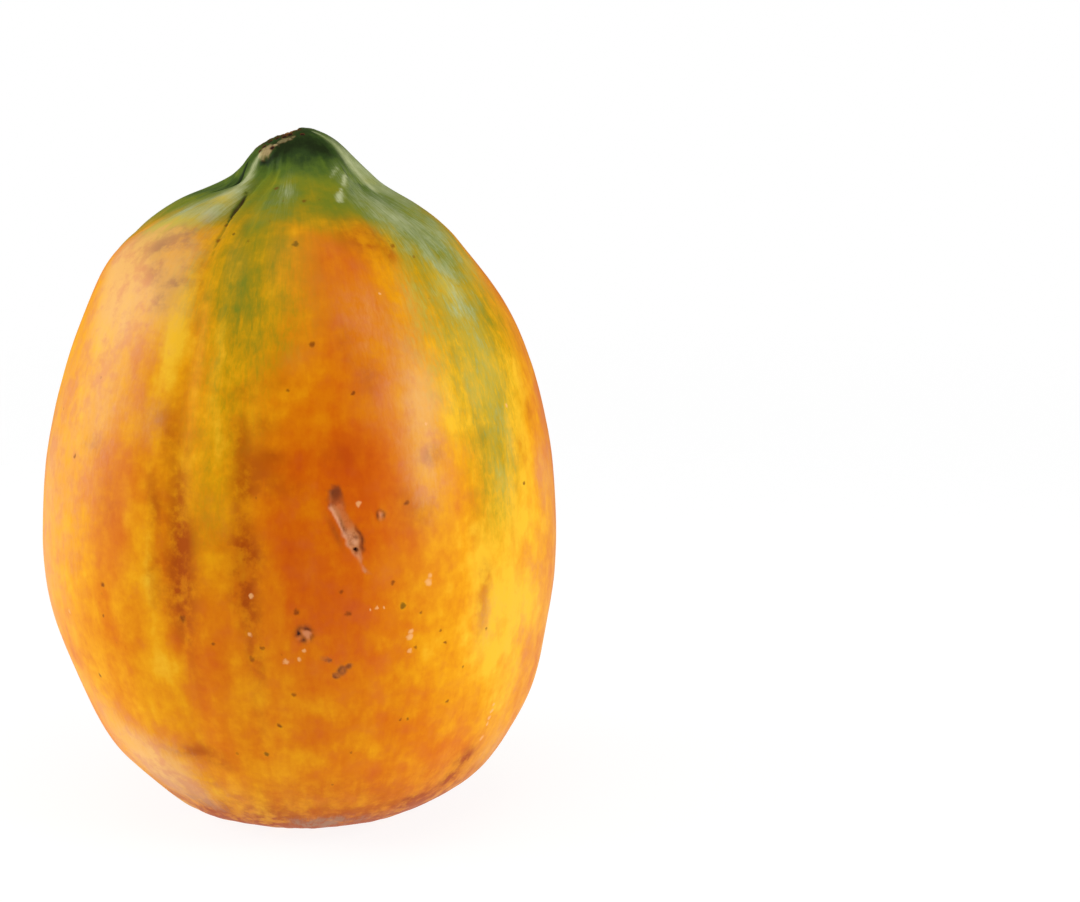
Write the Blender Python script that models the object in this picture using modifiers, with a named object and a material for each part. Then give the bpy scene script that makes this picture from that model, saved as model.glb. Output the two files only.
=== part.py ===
"""A ripe papaya that stands on its stem end, with its pointed blossom end up.

Metres, +Z up. The origin lies on the surface that the fruit stands on, under its middle.
Directions round the fruit are degrees from its front, -Y, and grow towards +X.
Heights and radii written as shares are shares of HEIGHT and BELLY_RADIUS.
"""

import math

import bpy

MM = 0.001

# Driving dimensions: the whole fruit, its flat foot and the scar of its stalk.
HEIGHT = 190.0 * MM
BELLY_RADIUS = 71.0 * MM
FOOT_RADIUS = 26.0 * MM
SCAR_RADIUS = 16.0 * MM
STALK_RADIUS = 9.0 * MM
HOLLOW_DEPTH = 3.4 * MM
STALK_CLEARANCE = 1.3 * MM

# Height and radius down the side of the fruit, from its tip to just above its foot.
SIDE = (
    (1.000, 0.000),
    (0.993, 0.080),
    (0.973, 0.163),
    (0.945, 0.236),
    (0.919, 0.335),
    (0.893, 0.470),
    (0.854, 0.617),
    (0.792, 0.743),
    (0.703, 0.867),
    (0.589, 0.956),
    (0.469, 0.998),
    (0.354, 1.000),
    (0.240, 0.936),
    (0.141, 0.835),
    (0.068, 0.690),
    (0.021, 0.530),
)
TIP_SLOPE = (1.0, 0.0)
FOOT_SLOPE = (-0.94, -0.34)

# The hollow round the stalk, as shares of the scar's radius and the hollow's depth, and the
# cut end of the stalk, as shares of the stalk's radius and its clearance above the ground.
HOLLOW = ((1.00, 0.00), (0.88, 0.55), (0.72, 0.92), (0.60, 1.00))
STALK = ((1.00, 1.60), (0.90, 1.00), (0.00, 0.85))

# How finely the solid is drawn.
COLUMNS_PER_LOBE = 15
SIDE_STEP = 6.5 * MM
COLUMN_GATHER = 0.45
SHARP_EDGE = math.radians(50.0)

# The five sutures between the lobes: direction, strength of the broad valley, strengths of its
# left and right grooves, and how far it drifts round the fruit on its way up to the tip.
SUTURES = (
    (-20.5, 1.0, 1.1, 0.9, -17.0),
    (50.0, 0.7, 0.6, 0.6, 18.0),
    (121.0, 1.0, 0.9, 0.5, 6.0),
    (192.0, 0.8, 0.6, 1.0, -8.0),
    (264.0, 0.9, 0.5, 0.8, 38.0),
)
VALLEY_DEPTH = 1.7 * MM
VALLEY_WIDTH = 20.0
GROOVE_DEPTH = 0.8 * MM
GROOVE_OFFSET = 7.8
GROOVE_WIDTH = 4.2
DRIFT_START = 0.82
DRIFT_END = 0.97

# Where up the fruit the sutures fade, and how much deeper they are at the neck of the tip.
FOOT_SHARE = 0.35
FULL_RELIEF = 0.16
NECK = 0.90
NECK_SPREAD = 0.06
NECK_GAIN = 1.0
TIP_FADE_START = 0.93
TIP_FADE_END = 0.985

# How full each lobe is, from the one right of the front suture onwards.
LOBE_FULLNESS = (0.2 * MM, 0.3 * MM, -0.5 * MM, 0.4 * MM, 0.7 * MM)

# How far the fruit sways to the right of its axis: amount, height and spread of each bend.
SWAYS = (
    (3.0 * MM, 0.06, 0.05),
    (2.2 * MM, 0.17, 0.10),
    (-2.2 * MM, 0.83, 0.075),
    (2.1 * MM, 0.94, 0.026),
    (2.3 * MM, 1.00, 0.04),
)

SKIN_COLOUR = (0.66, 0.23, 0.02, 1.0)
SKIN_ROUGHNESS = 0.42


def clear_scene():
    """Removes whatever the new file starts with."""
    for obj in list(bpy.data.objects):
        bpy.data.objects.remove(obj, do_unlink=True)


def smooth_step(low, high, value):
    """Rises from 0 at low to 1 at high."""
    share = min(max((value - low) / (high - low), 0.0), 1.0)
    return share * share * (3.0 - 2.0 * share)


def bell(centre, spread, value):
    """A soft bump of height 1."""
    return math.exp(-(((value - centre) / spread) ** 2))


def curve_through(points, first_slope, last_slope, step):
    """Points on a smooth curve through the given ones, about a step apart."""
    slopes = [first_slope]
    for before, after in zip(points, points[2:]):
        length = math.dist(before, after)
        slopes.append(((after[0] - before[0]) / length, (after[1] - before[1]) / length))
    slopes.append(last_slope)
    curve = [points[0]]
    for start, end, leaving, arriving in zip(points, points[1:], slopes, slopes[1:]):
        length = math.dist(start, end)
        count = max(2, math.ceil(length / step))
        for i in range(1, count + 1):
            t = i / count
            near_start = 2 * t**3 - 3 * t**2 + 1
            along_leaving = (t**3 - 2 * t**2 + t) * length
            along_arriving = (t**3 - t**2) * length
            point = [
                near_start * a + (1 - near_start) * b + along_leaving * c + along_arriving * d
                for a, b, c, d in zip(start, end, leaving, arriving)
            ]
            curve.append(tuple(point))
    return curve


def half_outline():
    """Radius and height down the side, in along the flat foot, and over the stalk's scar."""
    side = [(radius * BELLY_RADIUS, height * HEIGHT) for height, radius in SIDE]
    side.append((FOOT_RADIUS, 0.0))
    outline = curve_through(side, TIP_SLOPE, FOOT_SLOPE, SIDE_STEP)
    outline += [(radius * SCAR_RADIUS, height * HOLLOW_DEPTH) for radius, height in HOLLOW]
    outline += [(radius * STALK_RADIUS, height * STALK_CLEARANCE) for radius, height in STALK]
    return outline


def turned(outline, columns):
    """Turns the outline once round Z."""
    profile = bpy.data.meshes.new("outline")
    vertices = [(radius, 0.0, height) for radius, height in outline]
    edges = [(i, i + 1) for i in range(len(outline) - 1)]
    profile.from_pydata(vertices, edges, [])
    turning = bpy.data.objects.new("turning", profile)
    bpy.context.scene.collection.objects.link(turning)
    screw = turning.modifiers.new("turn", "SCREW")
    screw.axis = "Z"
    screw.angle = math.tau
    screw.steps = columns
    screw.render_steps = columns
    screw.use_merge_vertices = True
    screw.merge_threshold = 0.01 * MM
    evaluated = turning.evaluated_get(bpy.context.evaluated_depsgraph_get())
    mesh = bpy.data.meshes.new_from_object(evaluated)
    bpy.data.objects.remove(turning, do_unlink=True)
    return mesh


def column_direction(turn):
    """Spreads the even columns over the uneven lobes, and gathers them towards the sutures."""
    place = (turn % 1.0) * len(SUTURES)
    lobe = min(int(place), len(SUTURES) - 1)
    share = place - lobe
    start = SUTURES[lobe][0]
    end = SUTURES[lobe + 1][0] if lobe + 1 < len(SUTURES) else SUTURES[0][0] + 360.0
    gathered = share - COLUMN_GATHER * math.sin(math.tau * share) / math.tau
    return start + (end - start) * gathered, lobe, share


def relief(direction, height):
    """How far the sutures sink in below the turned surface."""
    depth = 0.0
    for suture, valley, left_groove, right_groove, drift in SUTURES:
        middle = suture + drift * smooth_step(DRIFT_START, DRIFT_END, height)
        apart = (direction - middle + 180.0) % 360.0 - 180.0
        depth += valley * VALLEY_DEPTH * bell(0.0, VALLEY_WIDTH, apart)
        depth += left_groove * GROOVE_DEPTH * bell(-GROOVE_OFFSET, GROOVE_WIDTH, apart)
        depth += right_groove * GROOVE_DEPTH * bell(GROOVE_OFFSET, GROOVE_WIDTH, apart)
    strength = FOOT_SHARE + (1.0 - FOOT_SHARE) * smooth_step(0.0, FULL_RELIEF, height)
    strength *= 1.0 + NECK_GAIN * bell(NECK, NECK_SPREAD, height)
    strength *= 1.0 - smooth_step(TIP_FADE_START, TIP_FADE_END, height)
    return depth * strength


def grow(mesh):
    """Gives the turned mesh its lobes, its sutures and its slight sway."""
    for vertex in mesh.vertices:
        radius = math.hypot(vertex.co.x, vertex.co.y)
        height = vertex.co.z / HEIGHT
        turn = math.atan2(vertex.co.y, vertex.co.x) / math.tau
        direction, lobe, share = column_direction(turn)
        in_scar = vertex.co.z < 1.1 * HOLLOW_DEPTH and radius < 1.1 * SCAR_RADIUS
        if not in_scar:
            fullness = LOBE_FULLNESS[lobe] * math.sin(math.pi * share) ** 2
            radius += fullness * math.sin(math.pi * height) - relief(direction, height)
        angle = math.radians(direction)
        sway = sum(amount * bell(place, spread, height) for amount, place, spread in SWAYS)
        vertex.co.x = radius * math.sin(angle) + sway
        vertex.co.y = -radius * math.cos(angle)


def centre(mesh):
    """Moves the mesh so that the origin is under the middle of its box."""
    xs = [vertex.co.x for vertex in mesh.vertices]
    ys = [vertex.co.y for vertex in mesh.vertices]
    middle_x = (min(xs) + max(xs)) / 2
    middle_y = (min(ys) + max(ys)) / 2
    for vertex in mesh.vertices:
        vertex.co.x -= middle_x
        vertex.co.y -= middle_y


def skin_material():
    """Waxy orange skin."""
    material = bpy.data.materials.new("papaya_skin")
    material.use_nodes = True
    shader = material.node_tree.nodes["Principled BSDF"]
    shader.inputs["Base Color"].default_value = SKIN_COLOUR
    shader.inputs["Roughness"].default_value = SKIN_ROUGHNESS
    shader.inputs["Metallic"].default_value = 0.0
    return material


def make_papaya(collection):
    """The whole fruit, grown as one piece."""
    mesh = turned(half_outline(), COLUMNS_PER_LOBE * len(SUTURES))
    mesh.name = "papaya"
    grow(mesh)
    centre(mesh)
    mesh.shade_smooth()
    mesh.set_sharp_from_angle(angle=SHARP_EDGE)
    papaya = bpy.data.objects.new("papaya", mesh)
    papaya.data.materials.append(skin_material())
    collection.objects.link(papaya)


def main():
    """Builds the fruit in its own collection."""
    clear_scene()
    collection = bpy.data.collections.new("papaya")
    bpy.context.scene.collection.children.link(collection)
    make_papaya(collection)


main()
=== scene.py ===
"""Looks of a ripe papaya that stands on its stem end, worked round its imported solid.

Metres, +Z up. Directions round the fruit are degrees from its front, -Y, and grow towards +X.
Places on the skin are a direction and a height in millimetres above the floor.
"""

import math

import bmesh
import bpy
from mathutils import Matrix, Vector, noise
from mathutils.bvhtree import BVHTree


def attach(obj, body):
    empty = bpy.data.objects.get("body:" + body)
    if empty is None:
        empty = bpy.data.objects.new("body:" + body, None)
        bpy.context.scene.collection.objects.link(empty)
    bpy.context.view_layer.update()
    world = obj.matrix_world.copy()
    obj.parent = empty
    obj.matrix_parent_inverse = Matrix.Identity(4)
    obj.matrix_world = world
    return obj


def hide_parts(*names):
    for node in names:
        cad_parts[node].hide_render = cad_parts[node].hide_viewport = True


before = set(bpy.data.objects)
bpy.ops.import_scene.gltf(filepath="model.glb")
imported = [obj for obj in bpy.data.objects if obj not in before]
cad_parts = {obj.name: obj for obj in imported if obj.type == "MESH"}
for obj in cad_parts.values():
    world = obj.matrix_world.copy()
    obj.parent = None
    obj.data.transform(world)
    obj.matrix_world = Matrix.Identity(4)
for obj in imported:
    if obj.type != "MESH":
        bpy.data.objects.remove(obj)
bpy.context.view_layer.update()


# The fruit: one grown piece, firm flesh under a thin waxy skin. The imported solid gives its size,
# its lobes and its sutures. It is refined here, so that the skin's small shapes can be worked in.
MM = 0.001
SMOOTHING = 2
LUMPS = ((26.0, 0.34 * MM), (70.0, 0.12 * MM), (190.0, 0.04 * MM))
RIB_ROUND = 13.0
RIB_ALONG = 11.0
RIB_HEIGHT = 0.20 * MM
RIB_START = 30.0 * MM


def smoothed(mesh):
    """The smooth surface of a coarse mesh, as a mesh of its own."""
    holder = bpy.data.objects.new("smoothing", mesh)
    bpy.context.scene.collection.objects.link(holder)
    smoothing = holder.modifiers.new("smoothing", "SUBSURF")
    smoothing.levels = SMOOTHING
    smoothing.render_levels = SMOOTHING
    evaluated = holder.evaluated_get(bpy.context.evaluated_depsgraph_get())
    surface = bpy.data.meshes.new_from_object(evaluated)
    bpy.data.objects.remove(holder, do_unlink=True)
    return surface


def bell(distance, spread):
    """A soft bump of height 1."""
    return math.exp(-((distance / spread) ** 2))


def ramp(low, high, value):
    """Rises smoothly from 0 at low to 1 at high."""
    share = min(max((value - low) / (high - low), 0.0), 1.0)
    return share * share * (3.0 - 2.0 * share)


def place_of(point):
    """Direction and height in millimetres of a point of the skin."""
    return math.degrees(math.atan2(point.x, -point.y)), point.z / MM


def apart(direction, other):
    """Degrees from other to direction, the short way round."""
    return (direction - other + 180.0) % 360.0 - 180.0


cage = bmesh.new()
cage.from_mesh(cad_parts["papaya"].data)
bmesh.ops.remove_doubles(cage, verts=cage.verts, dist=0.01 * MM)
bmesh.ops.join_triangles(
    cage,
    faces=cage.faces,
    angle_face_threshold=math.radians(60.0),
    angle_shape_threshold=math.radians(100.0),
)
cage_mesh = bpy.data.meshes.new("papaya_cage")
cage.to_mesh(cage_mesh)
cage.free()

# Smoothing draws a coarse mesh in a little, so its points first move out by as much.
drawn_in = smoothed(cage_mesh)
for coarse, drawn in zip(cage_mesh.vertices, drawn_in.vertices):
    coarse.co += coarse.co - drawn.co
skin = bmesh.new()
skin.from_mesh(smoothed(cage_mesh))
skin.normal_update()
for vertex in skin.verts:
    where = vertex.co
    round_axis = math.hypot(where.x, where.y) + 1e-6
    rise = sum(size * noise.noise(where * scale) for scale, size in LUMPS)
    meridian = Vector((where.x / round_axis, where.y / round_axis, 0.0)) * RIB_ROUND
    meridian.z = where.z * RIB_ALONG
    rise += RIB_HEIGHT * ramp(0.0, RIB_START, round_axis) * noise.noise(meridian)
    vertex.co = where + vertex.normal * rise


# How ripe each part of the skin is. A papaya colours from the middle of each lobe, and stays green
# longest at the tip and along the sutures. Each layer holds soft amounts from 0 to about 1. Some
# also
# hold painted light: highlights, reflection and sheen in the bloom, shade in the dusk along the
# sutures' grooves, by the neck's left fold and round the foot, and highlights on ridges where the
# flush is lowered.
# A patch is direction, height, half width in degrees, half height in millimetres and amount.
# A course is a stripe: height, direction, half width in degrees and amount, from the top down.
# The cap and the foot are heights and amounts. A drop is a direction in which the green cap hangs
# lower, its half width in degrees and by how many millimetres.
GREEN_CAP = (
    (162.5, 0.0), (166.0, 0.12), (168.5, 0.30), (170.5, 0.43), (172.5, 0.51), (175.0, 0.56),
    (178.0, 0.64), (180.5, 0.74), (183.0, 0.79), (186.0, 0.83), (189.0, 0.86),
)
GREEN_DROPS = (
    (54.0, 22.0, 6.0), (-20.0, 14.0, 1.5), (-62.0, 14.0, 1.0), (-41.0, 8.0, 2.5), (16.0, 8.0, 1.2),
    (121.0, 20.0, 7.0), (192.0, 22.0, 9.0), (-100.0, 24.0, 6.0), (88.0, 12.0, 3.0),
)
GREEN_COURSES = (
    ((176.0, -14.0, 18.0, 0.18), (171.0, -17.0, 21.0, 0.34), (164.0, -17.0, 21.0, 0.46),
     (156.0, -16.0, 20.0, 0.48), (149.0, -15.0, 19.0, 0.47), (142.0, -14.5, 16.0, 0.42),
     (134.0, -16.0, 14.0, 0.34), (124.0, -18.0, 14.0, 0.27), (108.0, -20.0, 12.0, 0.24),
     (90.0, -22.0, 9.0, 0.18), (66.0, -23.0, 6.0, 0.0)),
    ((176.0, 60.0, 34.0, 0.30), (170.0, 63.0, 35.0, 0.52), (163.0, 60.0, 32.0, 0.60),
     (155.0, 59.0, 28.0, 0.56), (148.0, 56.0, 26.0, 0.46), (141.0, 54.0, 25.0, 0.43),
     (134.0, 52.5, 22.0, 0.42), (126.0, 51.5, 19.0, 0.43), (118.0, 50.0, 16.0, 0.42),
     (109.0, 50.0, 12.0, 0.40), (101.0, 50.0, 11.0, 0.37), (92.0, 48.0, 9.0, 0.32),
     (76.0, 49.0, 6.0, 0.0)),
    ((178.0, -76.0, 24.0, 0.30), (174.0, -74.0, 24.0, 0.34), (171.0, -64.0, 20.0, 0.24),
     (167.0, -60.0, 18.0, 0.18), (160.0, -55.0, 14.0, 0.12), (150.0, -50.0, 12.0, 0.0)),
    ((176.0, 122.0, 14.0, 0.3), (160.0, 121.0, 12.0, 0.5), (140.0, 121.0, 9.0, 0.36),
     (112.0, 121.0, 5.0, 0.0)),
    ((176.0, 190.0, 18.0, 0.3), (158.0, 191.0, 14.0, 0.52), (130.0, 192.0, 10.0, 0.42),
     (96.0, 192.0, 6.0, 0.2), (70.0, 192.0, 4.0, 0.0)),
    ((176.0, -98.0, 16.0, 0.3), (160.0, -97.0, 12.0, 0.45), (140.0, -96.0, 8.0, 0.3),
     (120.0, -96.0, 5.0, 0.0)),
)
FLUSH_BASE = 0.34
# Painted highlight: the narrow patches that take flush away beside the left sutures, near -34 and
# -20 degrees, paint the highlight on the ridges there, in yellow.
FLUSH_AND_HIGHLIGHT_PATCHES = (
    (9.0, 92.0, 19.0, 62.0, 0.26), (9.0, 114.0, 13.0, 15.0, 0.29), (4.0, 93.0, 14.0, 16.0, 0.14),
    (14.0, 134.0, 8.0, 12.0, 0.14), (15.0, 158.0, 12.0, 9.0, 0.1), (3.0, 70.0, 12.0, 20.0, 0.14),
    (50.0, 72.0, 16.0, 36.0, -0.28), (34.0, 26.0, 16.0, 14.0, 0.12),
    (62.0, 112.0, 16.0, 24.0, -0.14), (52.0, 136.0, 14.0, 22.0, -0.22),
    (84.0, 108.0, 8.0, 34.0, 0.06), (70.0, 108.0, 5.0, 14.0, 0.18),
    (-34.6, 88.0, 1.8, 16.0, -0.22), (-33.0, 68.0, 2.4, 12.0, -0.24),
    (-31.2, 52.0, 3.2, 12.0, -0.18), (-45.0, 103.0, 7.0, 20.0, 0.18),
    (-43.0, 80.0, 5.0, 16.0, 0.14), (-60.0, 146.0, 14.0, 30.0, -0.24),
    (-19.0, 110.0, 7.0, 40.0, -0.1), (-33.4, 141.0, 3.2, 17.0, -0.32),
    (-21.0, 138.0, 1.6, 18.0, -0.16), (-19.0, 119.0, 1.5, 14.0, -0.12),
    (0.0, 12.0, 60.0, 10.0, 0.04), (-62.0, 70.0, 12.0, 36.0, -0.06),
    (-22.0, 66.0, 13.0, 30.0, 0.17), (-23.0, 126.0, 6.0, 12.0, 0.15),
    (45.0, 76.0, 17.0, 40.0, -0.03), (37.0, 130.0, 7.0, 26.0, -0.1),
    (15.0, 125.0, 7.0, 10.0, -0.12), (94.0, 96.0, 18.0, 60.0, 0.2),
    (154.0, 95.0, 22.0, 66.0, 0.28), (150.0, 122.0, 12.0, 20.0, 0.24),
    (230.0, 88.0, 22.0, 64.0, 0.24), (236.0, 66.0, 12.0, 24.0, 0.22),
    (193.0, 60.0, 12.0, 40.0, -0.24), (-97.0, 80.0, 12.0, 46.0, -0.2),
    (121.0, 50.0, 10.0, 36.0, -0.22),
)
# Bloom is the skin's pale wax, and also painted light: the broad patches on the left lobe and just
# right of the middle paint the soft lights' highlights, the strong ones low at the front left paint
# the floor's reflection, and those high on the shoulders paint the sheen along the outline.
BLOOM_AND_SHEEN_PATCHES = (
    (-56.0, 168.0, 15.0, 7.0, 0.52), (-64.0, 160.0, 13.0, 9.0, 0.72),
    (-56.0, 150.0, 13.0, 13.0, 0.64), (-40.0, 155.0, 7.0, 9.0, 0.58),
    (-36.0, 147.0, 6.0, 9.0, 0.3), (-35.0, 121.0, 4.0, 8.0, 0.26),
    (-52.0, 128.0, 13.0, 24.0, 0.46), (-62.0, 92.0, 13.0, 36.0, 0.38),
    (-74.0, 100.0, 8.0, 44.0, 0.4), (-44.0, 25.0, 13.0, 9.0, 0.9),
    (-57.0, 34.0, 10.0, 10.0, 0.42), (-36.0, 15.0, 16.0, 6.0, 0.36),
    (27.0, 122.0, 6.0, 20.0, 0.42), (31.0, 126.0, 8.0, 10.0, 0.3), (27.0, 104.0, 6.0, 12.0, 0.34),
    (15.0, 124.0, 6.0, 10.0, 0.16), (38.0, 128.0, 6.0, 26.0, 0.2),
    (55.0, 124.0, 10.0, 26.0, 0.16), (40.0, 76.0, 13.0, 36.0, 0.04), (4.0, 8.0, 30.0, 4.0, 0.4),
    (52.0, 168.0, 18.0, 6.0, 0.5), (66.0, 163.0, 12.0, 5.0, 0.26), (54.0, 151.0, 9.0, 7.0, 0.5),
    (50.0, 140.0, 7.0, 9.0, 0.3), (55.0, 128.0, 5.0, 8.0, 0.3), (46.0, 124.0, 3.0, 8.0, 0.32),
    (50.0, 119.0, 2.5, 9.0, 0.26), (56.0, 111.0, 2.5, 7.0, 0.36), (49.0, 99.0, 3.0, 8.0, 0.3),
    (53.0, 98.0, 2.5, 5.0, 0.26), (17.0, 146.0, 10.0, 14.0, 0.26), (62.0, 60.0, 9.0, 30.0, 0.3),
    (44.0, 66.0, 5.0, 12.0, 0.26), (70.0, 100.0, 5.0, 10.0, 0.36), (-6.0, 176.5, 7.0, 4.0, 0.26),
    (84.0, 178.0, 14.0, 10.0, 0.6), (16.0, 83.0, 4.0, 6.0, 0.16), (-1.0, 137.0, 5.0, 6.0, 0.14),
    (100.0, 120.0, 14.0, 40.0, 0.35), (168.0, 60.0, 14.0, 30.0, 0.3),
    (240.0, 130.0, 16.0, 30.0, 0.4), (46.0, 177.0, 14.0, 6.0, 0.34),
    (45.0, 160.0, 8.0, 6.0, 0.16), (-15.0, 171.0, 18.0, 6.0, 0.15),
    (78.0, 100.0, 8.0, 40.0, 0.24), (72.0, 154.0, 8.0, 7.0, 0.38), (34.0, 149.0, 6.0, 9.0, 0.2),
    (-21.5, 134.0, 1.6, 22.0, 0.18), (64.0, 20.0, 8.0, 9.0, 0.36),
)
# Painted shade: the patches at -36 to -52 degrees, 150 to 166 millimetres up, darken the skin by
# the neck's left fold. The others are brown mottling and bruises.
DUSK_AND_SHADE_PATCHES = (
    (-38.9, 150.7, 3.5, 3.5, 0.36), (-42.0, 154.0, 3.0, 2.0, 0.3), (-46.0, 166.0, 8.0, 3.0, 0.36),
    (-52.0, 161.0, 5.0, 2.0, 0.36), (-46.0, 157.0, 4.0, 2.5, 0.26),
    (-36.0, 154.0, 3.0, 5.0, 0.24), (26.0, 163.5, 6.0, 4.0, 0.52), (17.0, 166.0, 5.0, 3.0, 0.22),
    (33.0, 160.0, 2.5, 3.0, 0.4), (-10.0, 109.0, 5.0, 5.0, 0.4), (-43.0, 163.0, 5.0, 2.6, 0.3),
    (-6.0, 112.5, 3.0, 2.0, 0.3), (-14.0, 117.0, 3.0, 4.0, 0.26), (-9.0, 120.0, 4.0, 2.0, 0.22),
    (-13.0, 103.0, 3.0, 3.0, 0.3), (-5.0, 104.0, 4.0, 2.5, 0.22), (-8.0, 131.0, 6.0, 1.6, 0.2),
    (-14.0, 128.0, 3.0, 2.0, 0.2), (48.5, 21.1, 4.0, 4.0, 0.6), (44.9, 15.6, 5.0, 2.0, 0.55),
    (35.3, 12.3, 5.0, 2.0, 0.55), (-30.2, 31.5, 7.0, 1.8, 0.44), (-24.0, 29.0, 4.0, 1.6, 0.26),
    (-33.3, 122.5, 2.0, 4.0, 0.22), (-31.0, 116.0, 1.6, 3.0, 0.3), (7.5, 114.7, 5.0, 4.0, 0.15),
    (29.5, 110.6, 3.0, 3.0, 0.34), (24.7, 96.0, 5.0, 4.0, 0.22), (21.0, 101.0, 3.0, 3.0, 0.16),
    (16.0, 134.0, 3.0, 5.0, 0.22), (11.0, 141.0, 2.0, 4.0, 0.18), (-52.0, 112.0, 4.0, 3.0, 0.18),
    (40.0, 90.0, 2.0, 6.0, 0.16), (-45.0, 98.0, 3.0, 7.0, 0.14), (62.0, 108.0, 2.0, 5.0, 0.2),
    (68.0, 116.0, 2.0, 5.0, 0.26), (140.0, 140.0, 8.0, 6.0, 0.3), (215.0, 118.0, 7.0, 8.0, 0.3),
    (170.0, 30.0, 9.0, 5.0, 0.4), (250.0, 40.0, 7.0, 5.0, 0.35), (98.0, 70.0, 5.0, 7.0, 0.25),
    (126.0, 30.0, 6.0, 5.0, 0.3),
)
# Dusk courses run down the sutures: the skin is darker along them, and the courses also paint the
# shade in their grooves.
DUSK_AND_SHADE_COURSES = (
    ((135.0, -31.0, 1.4, 0.0), (120.0, -30.0, 2.0, 0.18), (107.0, -28.0, 3.0, 0.36),
     (97.0, -27.4, 3.2, 0.66), (86.0, -26.8, 3.2, 0.80), (77.0, -26.6, 3.6, 0.76),
     (62.0, -26.0, 2.0, 0.24), (40.0, -26.0, 2.0, 0.0)),
    ((112.0, -34.0, 1.6, 0.0), (100.0, -33.2, 1.8, 0.50), (88.0, -32.8, 1.7, 0.12),
     (78.0, -32.2, 2.0, 0.62), (70.0, -32.0, 1.4, 0.0)),
    ((134.0, -15.8, 2.0, 0.0), (116.0, -14.6, 2.4, 0.16), (99.0, -13.4, 2.6, 0.28),
     (88.0, -12.8, 3.4, 0.90), (77.0, -12.4, 3.0, 0.74), (64.0, -11.8, 1.8, 0.40),
     (44.0, -11.0, 1.8, 0.16), (34.0, -11.0, 1.4, 0.0)),
    ((86.0, 42.5, 1.6, 0.0), (78.0, 42.5, 1.8, 0.26), (68.0, 42.5, 1.6, 0.24),
     (56.0, 42.5, 1.4, 0.0)),
    ((164.0, -34.0, 1.5, 0.0), (156.0, -31.6, 2.0, 0.22), (147.0, -28.8, 2.4, 0.12),
     (137.0, -26.2, 2.2, 0.12), (126.0, -25.0, 1.4, 0.0)),
    ((110.0, 112.0, 3.0, 0.0), (90.0, 113.0, 3.0, 0.48), (66.0, 113.0, 3.0, 0.0)),
    ((120.0, 184.0, 3.0, 0.0), (92.0, 184.0, 3.2, 0.50), (60.0, 185.0, 3.0, 0.0)),
    ((116.0, -104.0, 3.0, 0.0), (94.0, -104.0, 3.2, 0.48), (66.0, -103.0, 3.0, 0.0)),
)
DUSK_FOOT = ((0.0, 0.86), (5.0, 0.80), (10.0, 0.54), (16.0, 0.20), (26.0, 0.0))
CAP_EDGE = (172.0, 186.0)
OVERLAP_GREEN = 0.30

# How far the edges of all these wander: noise scale and degrees, and millimetres up per degree.
WANDERS = ((34.0, 1.3), (95.0, 0.9), (230.0, 0.5))
WANDER_UP = 1.6


def patch(direction, height, place):
    """How strongly a soft patch shows at a place."""
    across = apart(direction, place[0]) / place[2]
    along = (height - place[1]) / place[3]
    squared = across * across + along * along
    return place[4] * math.exp(-squared) if squared < 9.0 else 0.0


def course(direction, height, points):
    """How strongly a stripe shows at a place."""
    for upper, lower in zip(points, points[1:]):
        if lower[0] <= height <= upper[0]:
            share = (upper[0] - height) / (upper[0] - lower[0])
            middle, width, amount = (a + (b - a) * share for a, b in zip(upper[1:], lower[1:]))
            return amount * bell(apart(direction, middle), width)
    return 0.0


def along_table(table, value):
    """Reads a table of (value, amount) between its rows."""
    if value <= table[0][0]:
        return table[0][1]
    for low, high in zip(table, table[1:]):
        if value <= high[0]:
            return low[1] + (high[1] - low[1]) * (value - low[0]) / (high[0] - low[0])
    return table[-1][1]


LAYERS = ("green", "flush", "bloom", "dusk", "cork", "pale", "dark")
for layer in LAYERS:
    skin.verts.layers.float.new(layer)
green, flush, bloom, dusk, cork, pale, dark = (skin.verts.layers.float[n] for n in LAYERS)
for vertex in skin.verts:
    direction, height = place_of(vertex.co)
    direction += sum(size * noise.noise(vertex.co * scale) for scale, size in WANDERS)
    height += sum(WANDER_UP * size * noise.noise(vertex.co.yzx * scale) for scale, size in WANDERS)
    drop = sum(amount * bell(apart(direction, at), width) for at, width, amount in GREEN_DROPS)
    cap = along_table(GREEN_CAP, height + drop * (1.0 - ramp(*CAP_EDGE, height)))
    stripes = max(course(direction, height, points) for points in GREEN_COURSES)
    vertex[green] = max(cap, stripes) + OVERLAP_GREEN * min(cap, stripes)
    vertex[flush] = FLUSH_BASE + sum(patch(direction, height, place) for place in FLUSH_AND_HIGHLIGHT_PATCHES)
    vertex[bloom] = sum(patch(direction, height, place) for place in BLOOM_AND_SHEEN_PATCHES)
    vertex[dusk] = sum(patch(direction, height, place) for place in DUSK_AND_SHADE_PATCHES)
    vertex[dusk] += max(course(direction, height, points) for points in DUSK_AND_SHADE_COURSES)
    vertex[dusk] += along_table(DUSK_FOOT, height)


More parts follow.
